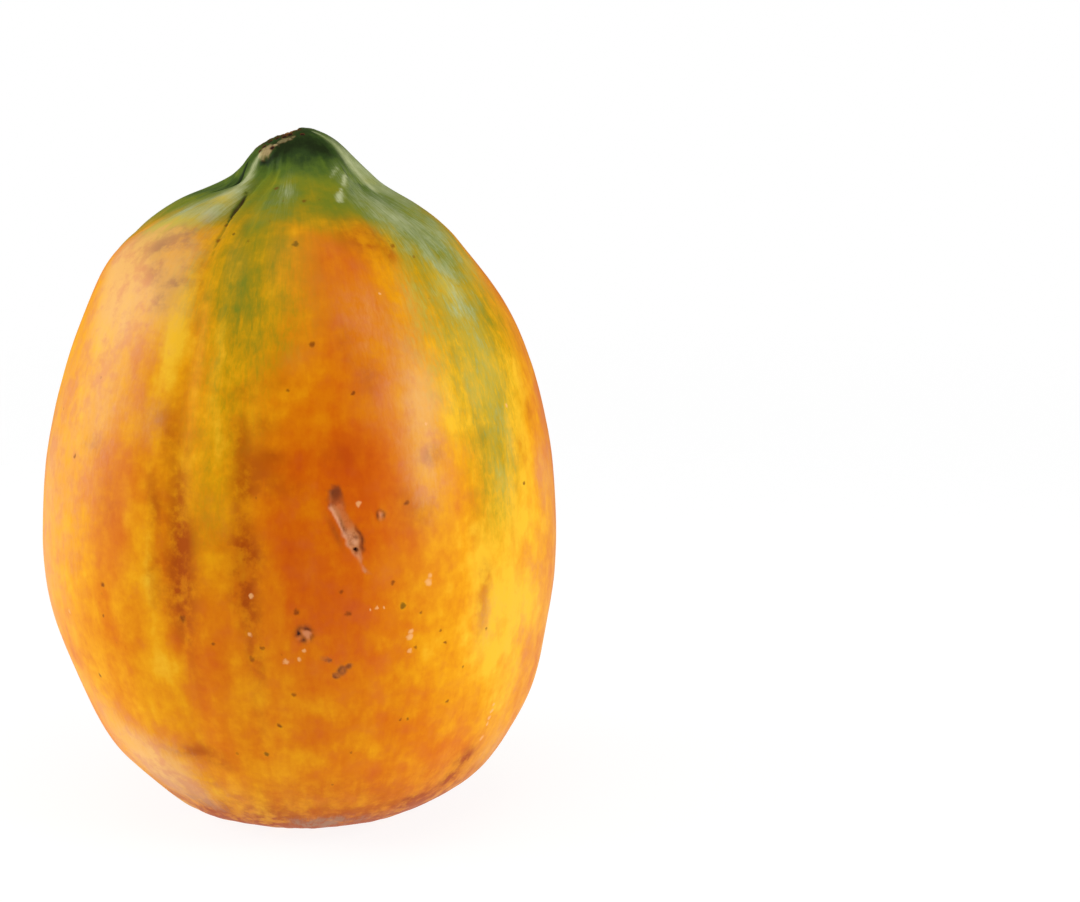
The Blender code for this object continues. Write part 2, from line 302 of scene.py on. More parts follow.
# The folds at the neck of the tip, where two lobes meet in a narrow dark crease, the pale ridge
# between the two at the left, and the dents beyond it. They are grown shapes of the skin, about a
# millimetre deep. Folds and ridges are courses, and the dents are patches.
FOLDS = (
    ((179.0, -47.0, 4.0, 0.0), (174.5, -39.5, 4.0, 0.6), (170.0, -35.5, 2.8, 0.8),
     (164.0, -31.6, 2.2, 0.42), (157.0, -30.5, 1.8, 0.22), (149.0, -29.7, 1.2, 0.12),
     (120.0, -31.5, 0.9, 0.0)),
    ((178.0, 60.0, 5.0, 0.0), (171.0, 63.0, 3.5, 0.35), (158.0, 58.0, 2.5, 0.25),
     (135.0, 52.0, 2.0, 0.0)),
    ((176.0, 128.0, 5.0, 0.0), (170.0, 124.0, 3.0, 0.8), (158.0, 121.0, 2.0, 0.3),
     (120.0, 120.0, 1.0, 0.0)),
    ((177.0, 185.0, 5.0, 0.0), (171.0, 188.0, 3.0, 0.7), (160.0, 191.0, 2.0, 0.3),
     (130.0, 192.0, 1.0, 0.0)),
)
RIDGES = (
    ((184.0, -52.0, 6.0, 0.0), (179.0, -50.0, 6.0, 0.5), (172.0, -46.0, 4.0, 0.4),
     (163.0, -42.0, 4.0, 0.0)),
)
NECK_DENTS = (
    (-84.0, 176.6, 13.0, 2.4, 1.3), (-74.0, 177.0, 9.0, 1.6, 0.8), (-98.0, 176.0, 14.0, 3.0, 1.0),
)
skin.normal_update()
for vertex in skin.verts:
    direction, height = place_of(vertex.co)
    rise = sum(course(direction, height, points) for points in RIDGES)
    rise -= sum(course(direction, height, points) for points in FOLDS)
    rise -= sum(patch(direction, height, place) for place in NECK_DENTS)
    if rise:
        vertex.co += vertex.normal * (rise * MM)

# Strokes over the neck, seen from above: millimetres to the right and back of the fruit's axis,
# and the half width there. Each changes some layers, and sinks or rises by some millimetres.
# The first few are creases, and the skin is drawn finer round them; the green and dark that they
# add are painted shade in the creases. The strokes that add bloom on the tip's right paint the
# sheen along its outline.
TIP_REACH = 17.0 * MM
TIP_STEP = 0.8 * MM
CREASES = 3
CREASE_REACH = 4.0
CREASE_STEP = 0.7 * MM
NECK_REACH = 30.0 * MM
STROKE_REACH = 3.0
STROKE_GRAIN = 380.0
STROKES = (
    ({"green": 0.46, "bloom": -0.6}, -0.45,
     ((-13.2, -2.6, 0.2), (-14.5, -3.0, 0.4), (-15.8, -3.5, 0.6), (-17.0, -4.2, 0.8),
      (-18.4, -4.7, 0.7), (-20.4, -4.5, 0.5), (-23.0, -4.0, 0.2))),
    ({"green": 0.40, "dark": 0.42, "bloom": -0.5}, -0.45,
     ((-13.4, -14.6, 0.2), (-14.3, -17.3, 0.45), (-15.1, -19.4, 0.7), (-16.2, -21.4, 0.7),
      (-17.4, -24.0, 0.3), (-18.4, -27.0, 0.2))),
    ({"green": 0.16, "dark": 0.15}, -0.15,
     ((-18.4, -27.0, 0.25), (-19.2, -29.7, 0.45), (-20.5, -32.3, 0.4), (-21.6, -35.4, 0.3),
      (-22.4, -38.4, 0.15))),
    ({"bloom": 0.48, "green": -0.06}, 0.10,
     ((-9.9, -5.6, 0.9), (-11.5, -5.4, 1.3), (-12.8, -6.8, 2.0), (-14.3, -9.4, 2.4),
      (-16.6, -12.2, 3.2), (-19.6, -15.0, 3.6))),
    ({"green": 0.16}, 0.0, ((-3.3, -9.6, 3.0), (2.0, -9.6, 4.0), (7.0, -9.0, 3.6))),
    ({"green": 0.20, "bloom": -0.3}, -0.08,
     ((-9.3, -7.3, 0.6), (-7.6, -8.3, 0.8), (-5.5, -9.6, 0.7))),
    ({"bloom": 0.40}, 0.08, ((10.7, -12.3, 0.3), (9.9, -14.1, 0.6), (9.0, -16.4, 0.3))),
    ({"bloom": 0.55}, 0.08, ((13.0, -12.4, 0.3), (12.5, -15.1, 0.6), (12.2, -17.4, 0.4))),
    ({"bloom": 0.80}, 0.10, ((11.6, -19.0, 0.4), (11.0, -22.0, 1.1), (10.9, -24.2, 0.8))),
    ({"green": 0.14}, -0.05, ((12.2, -10.4, 0.3), (14.0, -13.6, 0.3), (14.6, -18.6, 0.3))),
    ({"bloom": 0.44, "green": -0.06}, 0.0,
     ((4.5, -2.4, 0.4), (8.0, -3.7, 1.3), (10.6, -4.6, 1.9), (12.6, -5.0, 2.3),
      (14.6, -5.4, 2.2), (17.0, -6.2, 2.0), (20.5, -7.6, 1.6))),
    ({"bloom": 0.30, "green": 0.06}, 0.0,
     ((-15.4, -15.8, 1.5), (-17.4, -19.0, 2.2), (-20.6, -21.5, 3.0), (-25.2, -24.2, 3.5))),
)


def refine(inside, longest):
    """Splits the skin's long edges within a region."""
    long_edges = [edge for edge in skin.edges if edge.calc_length() > longest]
    edges = [edge for edge in long_edges if all(inside(vertex.co) for vertex in edge.verts)]
    bmesh.ops.subdivide_edges(skin, edges=edges, cuts=1, use_grid_fill=True)


def skin_tree():
    """The skin as it is now, for finding places on it."""
    return BVHTree.FromBMesh(skin)


def under(tree, right, back):
    """The point of the skin's top at some millimetres to the right and back of the axis."""
    return tree.ray_cast(Vector((right * MM, back * MM, 0.3)), Vector((0.0, 0.0, -1.0)))[0]


def off_line(point, line):
    """How far a point lies from a line over the skin, in shares of its half width there."""
    nearest = 9.0
    for (start, start_width), (end, end_width) in zip(line, line[1:]):
        along = end - start
        share = min(max((point - start).dot(along) / along.length_squared, 0.0), 1.0)
        width = start_width + (end_width - start_width) * share
        nearest = min(nearest, (point - start - along * share).length / (width * MM))
    return nearest


tip = max((vertex.co for vertex in skin.verts), key=lambda point: point.z).copy()
for share, longest in ((1.0, TIP_STEP), (1.0, TIP_STEP), (0.8, 0.5 * TIP_STEP)):
    refine(lambda point: (point - tip).length < share * TIP_REACH, longest)
tree = skin_tree()
lines = [[(under(tree, *place[:2]), place[2]) for place in stroke[2]] for stroke in STROKES]
creases = lines[:CREASES]
for _ in range(2):
    refine(lambda point: any(off_line(point, line) < CREASE_REACH for line in creases), CREASE_STEP)
skin.normal_update()
for vertex in skin.verts:
    if vertex.co.z < tip.z - NECK_REACH:
        continue
    rough = noise.noise(vertex.co * STROKE_GRAIN)
    rise = 0.0
    for (changes, height, _), line in zip(STROKES, lines):
        share = off_line(vertex.co, line)
        if share < STROKE_REACH:
            share = bell(max(share + 0.4 * rough, 0.0), 1.0) * (1.0 + 0.5 * rough)
            rise += height * share
            for layer, amount in changes.items():
                vertex[skin.verts.layers.float[layer]] += amount * share
    vertex.co += vertex.normal * (rise * MM)


# The blossom scar on the tip, where the flower dried off: a shallow five-pointed star of dry,
# brown tissue with a dark lip, and two tan corky patches at its front left, one with a black dot.
STAR_ASIDE = Vector((-4.5, 4.0, 0.0)) * MM
STAR_RADIUS = 7.2
STAR_POINTS = 1.2
STAR_TURN = 0.5
STAR_DEPTH = 0.70
CRACK_DEPTH = 0.35
CRACKS_ROUND = 5.0
CRACKS_ALONG = 90.0
STAR_GRAIN = 420.0
FLAKE_GRAIN = 1000.0

# Two tan patches, each an amount and its line, and small dark dots, all seen from above.
TAN_PATCHES = (
    (1.0, ((-9.6, -6.0, 0.6), (-8.4, -6.4, 1.3), (-7.0, -6.7, 1.4), (-5.6, -6.8, 0.9))),
    (0.5, ((-4.9, -6.3, 0.6), (-3.3, -6.5, 1.0), (-1.9, -6.2, 0.9), (-0.6, -5.9, 0.5))),
)
TIP_DOTS = (
    (-6.5, -7.0, 0.8), (1.7, -4.8, 0.7), (-1.6, -4.2, 0.8), (-3.2, -4.4, 0.9), (-8.7, -3.8, 0.9),
    (-7.0, -3.0, 0.9), (-5.1, -3.4, 0.8), (-9.8, -4.2, 0.6),
)

star_middle = tip + STAR_ASIDE
tree = skin_tree()
tan_lines = [
    (amount, [(under(tree, *place[:2]), place[2]) for place in line])
    for amount, line in TAN_PATCHES
]
dots = [(under(tree, *dot[:2]), dot[2]) for dot in TIP_DOTS]
skin.normal_update()
near_tip = [vertex for vertex in skin.verts if (vertex.co - tip).length < TIP_REACH]
for vertex in near_tip:
    out = (vertex.co - star_middle) / MM
    turn = math.atan2(out.y, out.x)
    rough = noise.noise(vertex.co * STAR_GRAIN)
    rim = STAR_RADIUS + STAR_POINTS * math.cos(5.0 * turn + STAR_TURN) + 1.1 * rough
    reach = math.hypot(out.x, out.y) / rim
    inside = 1.0 - ramp(0.80, 1.02, reach)
    lip = bell(reach - 1.0, 0.13)
    wave = Vector((math.cos(turn), math.sin(turn), 0.0)) * CRACKS_ROUND
    wave += vertex.co * CRACKS_ALONG
    crack = inside * bell(noise.noise(wave), 0.08)
    rise = 0.12 * lip - STAR_DEPTH * inside * (1.0 - 0.6 * reach) - CRACK_DEPTH * crack
    rise += 0.10 * noise.noise(vertex.co * 900.0) * ramp(1.6, 0.9, reach)
    flaky = rough + 1.1 * noise.noise(vertex.co * FLAKE_GRAIN)
    tan = max(
        amount * (1.0 - ramp(0.2, 1.7, off_line(vertex.co, line) + flaky))
        for amount, line in tan_lines
    )
    dot = max(1.0 - ramp(0.5, 1.2, (vertex.co - at).length / (size * MM)) for at, size in dots)
    vertex.co += vertex.normal * ((rise + 0.12 * tan - 0.25 * dot) * MM)
    vertex[cork] = max(0.75 * inside * (0.6 + 0.5 * rough), 0.36 * tan)
    vertex[bloom] += 0.46 * tan
    to_left = 0.62 - 0.38 * math.cos(turn)
    dark_lip = 1.1 * lip * to_left * (0.8 + 0.6 * rough)
    vertex[dark] = max(vertex[dark], dark_lip, 0.8 * crack, 1.05 * dot)


# The healed scar on the front lobe, a rub from a leaf stalk or a branch: a long tan patch of cork
# with a pale left lip, a dark cap, a dark right edge, a small deep hole and a thin tail.
SCAR_TOP = (6.6, 104.2)
SCAR_TAIL = (12.0, 83.6)
SCAR_REACH = 13.0 * MM
SCAR_STEP = 0.55 * MM
SCAR_LENGTH = 22.5
SCAR_GRAIN = 520.0
CORK_GRAIN = 1500.0

# Its left and right edge, millimetres down from its top and to the right of its middle line, and
# small details with their radius: a hole, two raised knobs and a shadow beside them.
SCAR_LEFT = (
    (0.0, -1.6), (2.0, -2.5), (5.0, -2.5), (8.0, -2.0),
    (11.0, -1.8), (15.0, -1.5), (18.0, -0.3), (23.0, 0.2),
)
SCAR_RIGHT = (
    (0.0, 1.4), (3.0, 2.0), (6.0, 1.4), (9.0, 1.9),
    (14.0, 2.1), (17.0, 1.6), (19.0, 1.0), (23.0, 0.6),
)
SCAR_HOLE = (15.9, 0.2, 0.7)
SCAR_KNOBS = ((11.7, -0.6, 1.0), (14.0, 0.6, 0.9))
SCAR_SHADOW = (13.0, 1.4, 0.6)


def on_skin(tree, direction, height):
    """The point of the skin in a direction and at a height."""
    turn = math.radians(direction)
    outwards = Vector((math.sin(turn), -math.cos(turn), 0.0))
    return tree.ray_cast(Vector((0.0, 0.0, height * MM)), outwards)[0]


def off_detail(down, aside, detail):
    """How far a place of the scar is from one of its details, in shares of the detail's radius."""
    return math.hypot(down - detail[0], aside - detail[1]) / detail[2]


tree = skin_tree()
scar_top = on_skin(tree, *SCAR_TOP)
scar_tail = on_skin(tree, *SCAR_TAIL)
scar_middle = (scar_top + scar_tail) / 2
scar_down = (scar_tail - scar_top).normalized()
scar_right = Vector((1.0, 0.0, 0.0))
scar_right = (scar_right - scar_down * scar_right.dot(scar_down)).normalized()
for _ in range(2):
    refine(lambda point: (point - scar_middle).length < SCAR_REACH, SCAR_STEP)
skin.normal_update()
for vertex in skin.verts:
    if (vertex.co - scar_middle).length > SCAR_REACH:
        continue
    out = (vertex.co - scar_top) / MM
    down = out.dot(scar_down)
    aside = out.dot(scar_right)
    rough = noise.noise(vertex.co * SCAR_GRAIN)
    from_left = aside - along_table(SCAR_LEFT, down) + 0.7 * rough
    from_right = along_table(SCAR_RIGHT, down) - aside + 0.8 * rough
    ends = min(down + 0.6, SCAR_LENGTH - down) + 0.5 * rough
    within = min(from_left, from_right, ends)
    body = ramp(-0.3, 0.7, within)
    left_lip = bell(from_left - 0.2, 0.45) * ramp(2.0, 4.0, down) * ramp(16.0, 13.0, down)
    right_edge = bell(from_right + 0.2, 0.45) * ramp(9.0, 12.0, down) * ramp(18.0, 16.0, down)
    cap = (1.0 - ramp(2.0, 4.4, down + 1.6 * rough)) * ramp(-0.8, 0.2, within)
    hole = 1.0 - ramp(0.4, 1.0, off_detail(down, aside, SCAR_HOLE))
    knob = sum(bell(off_detail(down, aside, detail), 1.0) for detail in SCAR_KNOBS)
    knob *= 0.7 + 0.8 * rough
    inner = bell(aside + 1.0, 0.35) * bell(down - 9.0, 2.4)
    inner += bell(off_detail(down, aside, SCAR_SHADOW), 1.0)
    smear = bell(aside - along_table(SCAR_LEFT, down) + 1.4, 0.8) * bell(down - 10.0, 4.0)
    tail = ramp(16.0, 18.5, down)
    thinner = 1.0 - 0.55 * ramp(0.5, 2.8, from_left) * (1.0 - ramp(9.0, 12.0, down)) - 0.45 * tail
    rise = 0.22 * left_lip - 0.28 * body - 0.2 * right_edge - 0.8 * hole + 0.25 * knob + 0.15 * cap
    rise += 0.12 * body * noise.noise(vertex.co * CORK_GRAIN)
    vertex.co += vertex.normal * (rise * MM)
    vertex[cork] = max(vertex[cork], 0.82 * body * thinner * (1.0 - 0.6 * cap))
    vertex[pale] = max(vertex[pale], 0.85 * left_lip * body, 0.75 * knob * body, 0.35 * tail * body)
    # Darks of the scar: its brown cap, the hole and its dark right edge, and a painted shadow
    # beside the knobs.
    darks_and_shadows = (0.58 * cap * (0.8 + 0.9 * rough), hole, 0.75 * right_edge, 0.5 * inner, 0.34 * smear)
    vertex[dark] = max(vertex[dark], *darks_and_shadows)


# Spots that the fruit picked up while it hung: a ring spot with a grey-pink middle, a small pit
# with a dark ring, and a purple-grey stain with smaller ones beside it. Each has a direction, a
# height and a radius, and the first two have the half width of their dark ring.
SPOT_STEP = 0.5 * MM
SPOT_GRAIN = 700.0
RING_SPOT = (-0.3, 67.7, 1.8, 0.85)
PIT = (16.2, 97.5, 1.0, 0.5)
STAINS = ((7.5, 57.3, 1.5), (6.2, 55.7, 1.0), (9.0, 58.3, 0.8), (4.9, 60.4, 0.6))
SPOT_REACH = 5.0 * MM
tree = skin_tree()
spot_middles = [on_skin(tree, *spot[:2]) for spot in (RING_SPOT, PIT, STAINS[0])]


def near_spot(point):
    """Whether a point lies close to one of the spots."""
    return any((point - middle).length < SPOT_REACH for middle in spot_middles)


for _ in range(2):
    refine(near_spot, SPOT_STEP)
skin.normal_update()
ring_middle, pit_middle = spot_middles[:2]
stain_middles = [(on_skin(tree, *stain[:2]), stain[2]) for stain in STAINS]
for vertex in skin.verts:
    if not near_spot(vertex.co):
        continue
    rough = noise.noise(vertex.co * SPOT_GRAIN)
    rise = 0.0
    for middle, radius, width in ((ring_middle, *RING_SPOT[2:]), (pit_middle, *PIT[2:])):
        away = (vertex.co - middle) / MM
        out = away.length + 0.9 * rough
        ring = bell(out - radius, width)
        off_core = (away - Vector((0.25 * radius, 0.0, 0.0))).length / radius
        core = 1.0 - ramp(0.3, 0.8, off_core + 0.5 * rough)
        rise += 0.12 * ring - 0.22 * core
        vertex[dark] = max(vertex[dark], 0.80 * ring * (0.62 + 1.3 * rough))
        vertex[pale] = max(vertex[pale], 0.34 * core)
        vertex[cork] = max(vertex[cork], 0.30 * (1.0 - ramp(0.6, 1.5, out / radius)))
    for middle, radius in stain_middles:
        out = ((vertex.co - middle).length / MM + 0.7 * rough) / radius
        stain = 1.0 - ramp(0.4, 1.3, out)
        rise -= 0.10 * stain
        vertex[dark] = max(vertex[dark], 0.78 * stain * (0.9 + 0.8 * rough))
        vertex[cork] = max(vertex[cork], 0.4 * stain)
    vertex.co += vertex.normal * (rise * MM)


# The stalk end under the fruit: a flat foot of skin, a ring of torn cork round a shallow hollow,
# and the cut end of the stalk, green inside a paler rim. Rings have a radius and a half width.
FOOT_HEIGHT = 4.0 * MM
FOOT_ASIDE = 1.3 * MM
FOOT_GRAIN = 320.0
CORK_RING = (15.4, 2.6)
DARK_RING = (11.0, 1.6)
GREEN_RING = (21.0, 5.0)
STALK_RIM = (9.2, 0.9)
for vertex in skin.verts:
    vertex.co.z = max(vertex.co.z, 0.0)
    if vertex.co.z < FOOT_HEIGHT:
        out = math.hypot(vertex.co.x - FOOT_ASIDE, vertex.co.y) / MM
        rough = noise.noise(vertex.co * FOOT_GRAIN)
        ring = bell(out - CORK_RING[0] - 1.4 * rough, CORK_RING[1])
        vertex[cork] = max(vertex[cork], ring)
        vertex[dark] = max(vertex[dark], 0.7 * bell(out - DARK_RING[0] + rough, DARK_RING[1]))
        vertex[green] = max(vertex[green], 0.42 * (1.0 - ramp(7.5, 9.5, out + rough)))
        vertex[green] = max(vertex[green], 0.22 * bell(out - GREEN_RING[0], GREEN_RING[1]))
        vertex[pale] = max(vertex[pale], 0.6 * bell(out - STALK_RIM[0], STALK_RIM[1]))


# The skin's material: the thin waxy rind, from flush and bloom to green and brown, with painted
# highlights, sheen and shade among them. The layers that are painted into the mesh choose the
# colours, and noise at several scales breaks them up.
class Socket:
    """An output of a shader node. Sums, differences, products and ratios add Math nodes."""

    tree = None

    def __init__(self, output):
        self.output = output

    @classmethod
    def node(cls, kind, settings, inputs, output=0):
        """Adds a node: its settings first, then the values or links of its sockets."""
        added = cls.tree.nodes.new(kind)
        for name, value in settings.items():
            if name == "stops":
                stops = added.color_ramp.elements
                while len(stops) < len(value):
                    stops.new(1.0)
                for stop, (position, colour) in zip(stops, value):
                    stop.position = position
                    stop.color = (*colour, 1.0)
            else:
                setattr(added, name, value)
        for place, value in inputs.items():
            if isinstance(value, Socket):
                cls.tree.links.new(value.output, added.inputs[place])
            else:
                added.inputs[place].default_value = value
        return cls(added.outputs[output])

    @classmethod
    def maths(cls, operation, *values):
        """One Math node."""
        return cls.node("ShaderNodeMath", {"operation": operation}, dict(enumerate(values)))

    def __add__(self, other):
        return self.maths("ADD", self, other)

    def __radd__(self, other):
        return self.maths("ADD", other, self)

    def __sub__(self, other):
        return self.maths("SUBTRACT", self, other)

    def __rsub__(self, other):
        return self.maths("SUBTRACT", other, self)

    def __mul__(self, other):
        return self.maths("MULTIPLY", self, other)

    def __rmul__(self, other):
        return self.maths("MULTIPLY", other, self)

    def __truediv__(self, other):
        return self.maths("DIVIDE", self, other)


def step(value, low, high):
    """A socket that goes smoothly from 0 where value is low to 1 where it is high."""
    inputs = {0: value, 1: low, 2: high, 3: 0.0, 4: 1.0}
    return Socket.node("ShaderNodeMapRange", {"interpolation_type": "SMOOTHSTEP"}, inputs)


def clipped(value):
    """A socket held between 0 and 1."""
    return Socket.node("ShaderNodeClamp", {}, {0: value, 1: 0.0, 2: 1.0})


def mixed(under, over, share):
    """One colour laid over another."""
    settings = {"data_type": "RGBA", "blend_type": "MIX"}
    colours = {6: under, 7: over}
    colours = {k: v if isinstance(v, Socket) else (*v, 1.0) for k, v in colours.items()}
    return Socket.node("ShaderNodeMix", settings, {0: share, **colours}, 2)


def vector_maths(operation, *values, output=0):
    """One Vector Math node."""
    inputs = dict(enumerate(values))
    return Socket.node("ShaderNodeVectorMath", {"operation": operation}, inputs, output)


def grain(where, scale, detail=2.0, roughness=0.5, twist=0.0):
    """Soft noise, about 0.5 on average."""
    inputs = {"Vector": where, "Scale": scale, "Detail": detail, "Roughness": roughness}
    inputs["Distortion"] = twist
    return Socket.node("ShaderNodeTexNoise", {}, inputs)


def painted(layer):
    """A layer of the skin's mesh."""
    return Socket.node("ShaderNodeAttribute", {"attribute_name": layer}, {}, "Fac")


def swayed(value, grains):
    """A value moved up and down by some noises, each by its own amount."""
    for noisy, amount in grains:
        value = value + (noisy - 0.5) * amount
    return value


def ramped(value, stops):
    """The colour that a value has on a row of stops."""
    return Socket.node("ShaderNodeValToRGB", {"stops": stops}, {0: value})


def shade(*screen):
    """A colour as a screen shows it, turned into shares of light sent back."""
    return tuple(((v / 255 + 0.055) / 1.055) ** 2.4 if v > 10 else v / 3295 for v in screen)


skin_material = bpy.data.materials.new("papaya_skin")
skin_material.use_nodes = True
skin_shader = skin_material.node_tree.nodes["Principled BSDF"]
Socket.tree = skin_material.node_tree

# Where a point is: on the fruit, and on a circle round its axis, which draws out streaks that
# run from the tip to the foot.
STREAK_LENGTH = 5.5
here = Socket.node("ShaderNodeTexCoord", {}, {}, "Object")
parts = Socket.node("ShaderNodeSeparateXYZ", {}, {0: here}).output.node
to_right, to_back, up = (Socket(output) for output in parts.outputs)
from_axis = Socket.maths("SQRT", to_right * to_right + to_back * to_back + 1e-6)
circle_inputs = {0: to_right / from_axis, 1: to_back / from_axis, 2: up * STREAK_LENGTH}
circle = Socket.node("ShaderNodeCombineXYZ", {}, circle_inputs)
broad = grain(here, 22.0, 3.0, 0.55)
mottle = grain(here, 85.0, 4.0, 0.6)
speckle = grain(here, 190.0, 4.0, 0.65)
fine = grain(here, 330.0, 3.0, 0.6)
dust = grain(here, 1100.0, 2.0, 0.6)
streak = grain(circle, 8.0, 3.0, 0.6, 0.3)
thin_streak = grain(circle, 26.0, 3.0, 0.6, 0.5)
hair_streak = grain(circle, 64.0, 3.0, 0.6, 0.8)

# From yellow through golden orange to a red flush, under a faint dusty haze. Where the flush layer
# is lowered in strips beside the left sutures, the yellower colour is a painted highlight on the
# ridges.
FLUSH_STOPS = (
    (0.00, shade(247, 189, 40)),
    (0.22, shade(238, 160, 8)),
    (0.50, shade(222, 123, 2)),
    (0.75, shade(212, 98, 2)),
    (1.00, shade(200, 76, 4)),
)
FLUSH_GRAINS = (
    (broad, 0.44), (mottle, 0.68), (streak, 0.40), (thin_streak, 0.26), (speckle, 0.50),
)
HAZE_COLOUR = shade(232, 146, 92)
HAZE_AMOUNT = 0.08
colour = ramped(swayed(painted("flush"), FLUSH_GRAINS), FLUSH_STOPS)
haze = step(swayed(speckle, ((broad, 0.6),)), 0.50, 0.80)
colour = mixed(colour, HAZE_COLOUR, haze * HAZE_AMOUNT)

# A pale, waxy bloom, straw yellow to dull pink, and streakier where the skin is green. Much of it
# is
# painted light: the soft lights' highlights on the lobes, the floor's reflection low at the front
# and the sheen along the outline.
BLOOM_AND_SHEEN_COLOUR = shade(240, 182, 102)
BLUSH_COLOUR = shade(226, 146, 96)
waxy_streaks = 0.36 + 0.44 * step(painted("green"), 0.1, 0.4)
BLOOM_AND_SHEEN_GRAINS = ((mottle, 0.56), (streak, 0.26), (speckle, 0.64), (hair_streak, waxy_streaks))
bloom_and_sheen_noise = swayed(0.0, BLOOM_AND_SHEEN_GRAINS)
bloom_and_sheen_here = painted("bloom") + bloom_and_sheen_noise * step(painted("bloom"), 0.0, 0.3)
bloom_and_sheen_here = clipped(step(bloom_and_sheen_here, 0.02, 1.05) * (0.5 + 1.0 * broad))
blush = step(swayed(mottle, ((speckle, 0.9), (fine, 0.4))), 0.42, 0.70)
colour = mixed(colour, mixed(BLOOM_AND_SHEEN_COLOUR, BLUSH_COLOUR, blush * 0.7), bloom_and_sheen_here)

# Green skin that hasn't turned yet, with sage-grey wax over its shoulders, and painted sheen where
# the bloom layer lies along the outline.
GREEN_STOPS = (
    (0.00, shade(200, 160, 14)),
    (0.30, shade(182, 151, 8)),
    (0.46, shade(152, 137, 18)),
    (0.62, shade(118, 127, 28)),
    (0.76, shade(82, 104, 32)),
    (0.88, shade(46, 66, 24)),
    (1.00, shade(30, 42, 14)),
)
SAGE_COLOUR = shade(186, 191, 142)
YELLOW_SAGE = shade(207, 188, 76)
GREEN_GRAINS = (
    (broad, 0.14), (mottle, 0.32), (speckle, 0.28), (streak, 0.14),
    (thin_streak, 0.30 * step(from_axis, 0.015, 0.05)),
    (hair_streak, 0.34 * step(from_axis, 0.03, 0.06)),
)
green_noise = swayed(0.0, GREEN_GRAINS)
green_here = painted("green") + green_noise * step(painted("green"), 0.0, 0.3)
colour = mixed(colour, ramped(green_here, GREEN_STOPS), step(green_here, 0.02, 0.58))
sage_and_sheen_colour = mixed(YELLOW_SAGE, SAGE_COLOUR, step(green_here, 0.39, 0.64))
colour = mixed(colour, sage_and_sheen_colour, clipped(step(green_here, 0.08, 0.4) * bloom_and_sheen_here))

# Dark orange and brown in bruises and mottling and along the sutures, with painted shade in the
# sutures' grooves, by the neck's left fold and round the foot; mauve where bloom lies over them.
DUSK_AND_SHADE_COLOUR = shade(172, 76, 3)
MAUVE_COLOUR = shade(168, 116, 84)
blotches = step(swayed(mottle * 0.55 + speckle * 0.45, ((fine, 0.4),)), 0.38, 0.60)
dusk_and_shade_here = clipped(painted("dusk") * (0.60 + 1.1 * blotches))
colour = mixed(colour, mixed(DUSK_AND_SHADE_COLOUR, MAUVE_COLOUR, step(bloom_and_sheen_here, 0.1, 0.5)), dusk_and_shade_here)

# Cork, pale healed tissue and dark stains, and painted shade in the neck's creases and beside the
# scar's knobs.
CORK_COLOUR = shade(196, 132, 84)
CORK_DARK = shade(150, 84, 46)
PALE_COLOUR = shade(238, 176, 138)
DARK_COLOUR = shade(98, 46, 26)
BLACK_COLOUR = shade(46, 28, 20)
cork_colour = mixed(CORK_COLOUR, CORK_DARK, step(fine + (dust - 0.5) * 0.6, 0.45, 0.75))
colour = mixed(colour, cork_colour, clipped(painted("cork")))
colour = mixed(colour, PALE_COLOUR, clipped(painted("pale")))
dark_here = painted("dark") + (fine - 0.5) * 0.3 * step(painted("dark"), 0.02, 0.3)
dark_colour = mixed(DARK_COLOUR, BLACK_COLOUR, step(dark_here, 0.6, 1.0))
colour = mixed(colour, dark_colour, clipped(dark_here * 1.15))

# Specks, placed one by one on the front: direction, height and radius in millimetres. Freckles, a
# loose scatter of small brown points, lie in patches all over the fruit.
SPECK_COLOUR = shade(112, 48, 6)
FRECKLE_COLOUR = shade(130, 62, 6)
GREEN_SPECK_COLOUR = shade(78, 66, 10)
FLECK_COLOUR = shade(246, 184, 120)
DARK_SPECKS = (
    (7.3, 78.6, 0.7), (8.9, 72.7, 0.9), (-1.7, 73.5, 0.9), (-11.6, 60.3, 0.8), (37.6, 52.9, 0.5),
    (-46.3, 76.7, 0.8), (-53.7, 49.5, 0.7), (-26.8, 70.2, 1.0), (-20.0, 64.1, 0.6),
    (-6.4, 41.3, 0.8), (31.3, 61.3, 0.5), (29.8, 65.0, 0.5), (24.9, 70.8, 0.6), (23.9, 61.6, 0.6),
    (21.7, 41.4, 0.5), (23.7, 41.1, 0.5), (-2.7, 50.8, 0.7), (22.2, 99.9, 0.7), (18.4, 79.8, 0.7),
    (-16.0, 175.7, 0.7), (4.0, 173.0, 0.7), (-34.2, 168.4, 0.7), (-33.6, 167.0, 0.7),
    (-32.0, 163.7, 0.8), (37.1, 161.7, 0.8), (-19.1, 164.0, 0.5), (-9.3, 63.5, 0.6),
    (34.0, 44.0, 0.6), (44.0, 62.0, 0.5), (-47.0, 68.0, 0.5), (-58.0, 108.0, 0.7),
    (3.0, 140.0, 0.8), (12.0, 128.0, 0.6), (-3.0, 129.0, 0.6), (60.0, 98.0, 0.6),
)
GREEN_SPECKS = ((20.6, 73.4, 1.0), (-10.4, 32.1, 0.8), (-26.6, 165.3, 0.7), (-0.9, 163.5, 1.1))
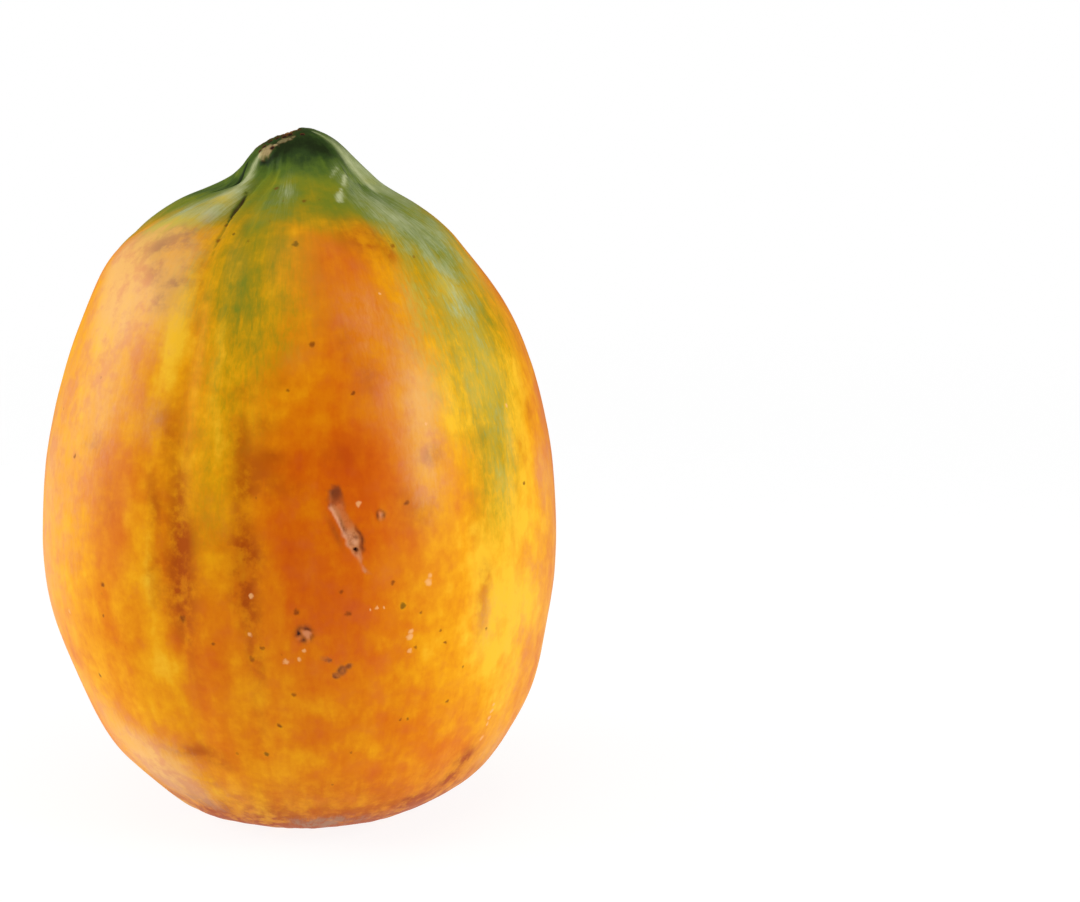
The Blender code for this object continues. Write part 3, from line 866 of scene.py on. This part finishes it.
PALE_FLECKS = (
    (-4.2, 60.1, 0.9), (-1.4, 60.8, 0.7), (-0.3, 63.0, 0.7), (14.8, 73.6, 0.6), (13.4, 73.3, 0.4),
    (16.4, 73.6, 0.4), (26.6, 78.7, 1.2), (27.2, 80.4, 0.8), (22.3, 64.7, 1.0), (22.6, 66.2, 0.8),
    (22.4, 60.8, 0.8), (-11.3, 77.4, 0.7), (-11.9, 67.1, 0.7), (52.7, 27.6, 1.0),
    (52.4, 32.0, 0.7), (52.2, 34.0, 0.8), (52.2, 36.0, 0.8), (52.3, 38.0, 0.6),
    (11.5, 100.7, 0.8), (-60.0, 66.0, 0.7), (29.0, 119.0, 0.5), (24.0, 151.0, 0.5),
    (58.0, 119.0, 0.7),
)
SPECK_WARP = 1.5 * MM
WARP_GRAIN = 700.0
FRECKLE_GRAIN = 165.0
tree = skin_tree()
warp_inputs = {"Vector": here, "Scale": WARP_GRAIN, "Detail": 3.0}
warp = Socket.node("ShaderNodeTexNoise", {}, warp_inputs, 1)
warp = vector_maths("SUBTRACT", warp, (0.5, 0.5, 0.5))
warp = vector_maths("SCALE", warp)
warp.output.node.inputs["Scale"].default_value = SPECK_WARP
wavering = vector_maths("ADD", here, warp)


def specks(places):
    """How near a point is to the closest of some specks, in shares of its radius."""
    nearest = 10.0
    for direction, height, radius in places:
        middle = on_skin(tree, direction, height)
        reach = vector_maths("DISTANCE", wavering, middle, output=1) * (1.0 / (radius * MM))
        nearest = Socket.maths("MINIMUM", nearest, reach)
    return nearest


dark_specks = step(specks(DARK_SPECKS), 1.35, 0.25) * (0.45 + 0.9 * fine)
green_specks = step(specks(GREEN_SPECKS), 1.15, 0.45)
pale_flecks = step(specks(PALE_FLECKS), 1.20, 0.40) * (0.5 + 0.8 * fine)
cells = Socket.node("ShaderNodeTexVoronoi", {}, {"Vector": wavering, "Scale": FRECKLE_GRAIN})
cell_luck = Socket(cells.output.node.outputs["Color"])
freckles = step(cells, 0.085, 0.045) * step(cell_luck, 0.60, 0.66)
freckles = freckles * step(swayed(broad, ((mottle, 0.5),)), 0.42, 0.6)
colour = mixed(colour, SPECK_COLOUR, dark_specks * 0.78)
colour = mixed(colour, FRECKLE_COLOUR, freckles * 0.45)
colour = mixed(colour, GREEN_SPECK_COLOUR, green_specks * 0.7)
colour = mixed(colour, FLECK_COLOUR, pale_flecks * 0.75)

# The wax: a satin skin under a thin soft coat, duller where it is green and dry where it is corky,
# with pores and specks too small for the mesh.
ROUGHNESS = 0.46
SHEEN = 0.04
COAT = 0.06
COAT_ROUGHNESS = 0.30
PORE_DEPTH = 0.25 * MM
PORE_STRENGTH = 0.4
rough_here = swayed(ROUGHNESS, ((mottle, 0.16), (fine, 0.10))) + painted("cork") * 0.3
rough_here = rough_here + painted("dark") * 0.2 + step(painted("green"), 0.4, 1.0) * 0.12
coat_here = (COAT + 0.16 * bloom_and_sheen_here) * (1.0 - step(painted("green"), 0.35, 1.0) * 0.6)
coat_here = coat_here * (1.0 - clipped(painted("cork")))
relief = swayed(0.0, ((fine, 0.5), (dust, 0.3))) - dark_specks * 0.5 + pale_flecks * 0.5
bump_inputs = {"Height": relief, "Strength": PORE_STRENGTH, "Distance": PORE_DEPTH}
bump = Socket.node("ShaderNodeBump", {}, bump_inputs)
Socket.tree.links.new(colour.output, skin_shader.inputs["Base Color"])
Socket.tree.links.new(rough_here.output, skin_shader.inputs["Roughness"])
Socket.tree.links.new(coat_here.output, skin_shader.inputs["Coat Weight"])
Socket.tree.links.new(bump.output, skin_shader.inputs["Normal"])
skin_shader.inputs["Specular IOR Level"].default_value = SHEEN
skin_shader.inputs["Coat Roughness"].default_value = COAT_ROUGHNESS

wide_faces = [face for face in skin.faces if len(face.verts) > 4]
bmesh.ops.triangulate(skin, faces=wide_faces)
skin_mesh = bpy.data.meshes.new("papaya_skin")
skin.to_mesh(skin_mesh)
skin.free()
skin_mesh.shade_smooth()
papaya_skin = bpy.data.objects.new("papaya_skin", skin_mesh)
bpy.context.scene.collection.objects.link(papaya_skin)
papaya_skin.data.materials.append(skin_material)
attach(papaya_skin, "root")
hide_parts("papaya")


# The studio: a plain pale floor that fades into a white surround, two large soft lights at the
# sides and a weaker one above. Each light has a name, a direction and an elevation in degrees, a
# distance, a width and a height in metres, and its watts.
FLOOR_RADIUS = 1.6
FLOOR_FADE = (0.20, 0.95)
FLOOR_GREY = 0.16
FLOOR_GLOW = 0.89
FLOOR_ROUGHNESS = 0.9
FLOOR_SHEEN = 0.1
SURROUND_SEEN = 1.0
SURROUND_LIGHT = 0.24
WHITE = (1.0, 1.0, 1.0, 1.0)
SOFT_LIGHTS = (
    ("left", -86.0, 12.0, 1.05, 0.80, 0.95, 9.4),
    ("right", 62.0, 10.0, 1.05, 0.70, 0.95, 7.8),
    ("above", 0.0, 76.0, 1.15, 0.90, 0.90, 4.8),
)
LIT_POINT = Vector((0.0, 0.0, 0.09))

floor_shape = bmesh.new()
bmesh.ops.create_circle(floor_shape, cap_ends=True, segments=96, radius=FLOOR_RADIUS)
floor_mesh = bpy.data.meshes.new("floor")
floor_shape.to_mesh(floor_mesh)
floor_shape.free()
floor = bpy.data.objects.new("floor", floor_mesh)
bpy.context.scene.collection.objects.link(floor)
floor_material = bpy.data.materials.new("pale_floor")
floor_material.use_nodes = True
Socket.tree = floor_material.node_tree
floor_shader = floor_material.node_tree.nodes["Principled BSDF"]
floor_shader.inputs["Base Color"].default_value = (FLOOR_GREY, FLOOR_GREY, FLOOR_GREY, 1.0)
floor_shader.inputs["Roughness"].default_value = FLOOR_ROUGHNESS
floor_shader.inputs["Specular IOR Level"].default_value = FLOOR_SHEEN
floor_shader.inputs["Emission Color"].default_value = WHITE
floor_shader.inputs["Emission Strength"].default_value = FLOOR_GLOW
on_floor = Socket.node("ShaderNodeTexCoord", {}, {}, "Object")
from_middle = vector_maths("LENGTH", on_floor, output=1)
fading = step(from_middle, *FLOOR_FADE)
clear = Socket.node("ShaderNodeBsdfTransparent", {}, {})
surface = Socket.node("ShaderNodeMixShader", {}, {0: fading, 2: clear})
floor_mix = surface.output.node
Socket.tree.links.new(floor_shader.outputs[0], floor_mix.inputs[1])
Socket.tree.links.new(surface.output, Socket.tree.nodes["Material Output"].inputs["Surface"])
floor.data.materials.append(floor_material)

world = bpy.data.worlds.new("studio")
world.use_nodes = True
bpy.context.scene.world = world
Socket.tree = world.node_tree
background = world.node_tree.nodes["Background"]
seen = Socket.node("ShaderNodeLightPath", {}, {}, "Is Camera Ray")
strength = SURROUND_LIGHT + seen * (SURROUND_SEEN - SURROUND_LIGHT)
background.inputs["Color"].default_value = WHITE
Socket.tree.links.new(strength.output, background.inputs["Strength"])

for name, azimuth, elevation, distance, width, height, power in SOFT_LIGHTS:
    lamp = bpy.data.lights.new("soft_" + name, "AREA")
    lamp.shape = "RECTANGLE"
    lamp.size = width
    lamp.size_y = height
    lamp.energy = power
    lamp_object = bpy.data.objects.new("soft_" + name, lamp)
    lamp_object.visible_camera = False
    level = math.cos(math.radians(elevation)) * distance
    lamp_object.location = LIT_POINT + Vector(
        (
            level * math.sin(math.radians(azimuth)),
            -level * math.cos(math.radians(azimuth)),
            distance * math.sin(math.radians(elevation)),
        )
    )
    towards = LIT_POINT - lamp_object.location
    lamp_object.rotation_euler = towards.to_track_quat("-Z", "Y").to_euler()
    bpy.context.scene.collection.objects.link(lamp_object)


# The camera, at the height and distance that the photograph's outline asks for.
CAMERA_LENS = 85.0
CAMERA_ELEVATION = math.radians(12.0)
CAMERA_DISTANCE = 0.713
CAMERA_TARGET = Vector((0.0, 0.0, 0.0945))
CAMERA_ASIDE = 0.0665
CAMERA_LIFT = 0.0049
forward = Vector((0.0, math.cos(CAMERA_ELEVATION), -math.sin(CAMERA_ELEVATION)))
upward = Vector((0.0, math.sin(CAMERA_ELEVATION), math.cos(CAMERA_ELEVATION)))
camera_data = bpy.data.cameras.new("camera")
camera_data.lens = CAMERA_LENS
camera_data.sensor_width = 36.0
camera = bpy.data.objects.new("camera", camera_data)
camera.location = CAMERA_TARGET - forward * CAMERA_DISTANCE
aim = CAMERA_TARGET + Vector((CAMERA_ASIDE, 0.0, 0.0)) + upward * CAMERA_LIFT
camera.rotation_euler = (aim - camera.location).to_track_quat("-Z", "Y").to_euler()
bpy.context.scene.collection.objects.link(camera)
bpy.context.scene.camera = camera
bpy.context.scene.view_settings.view_transform = "Standard"
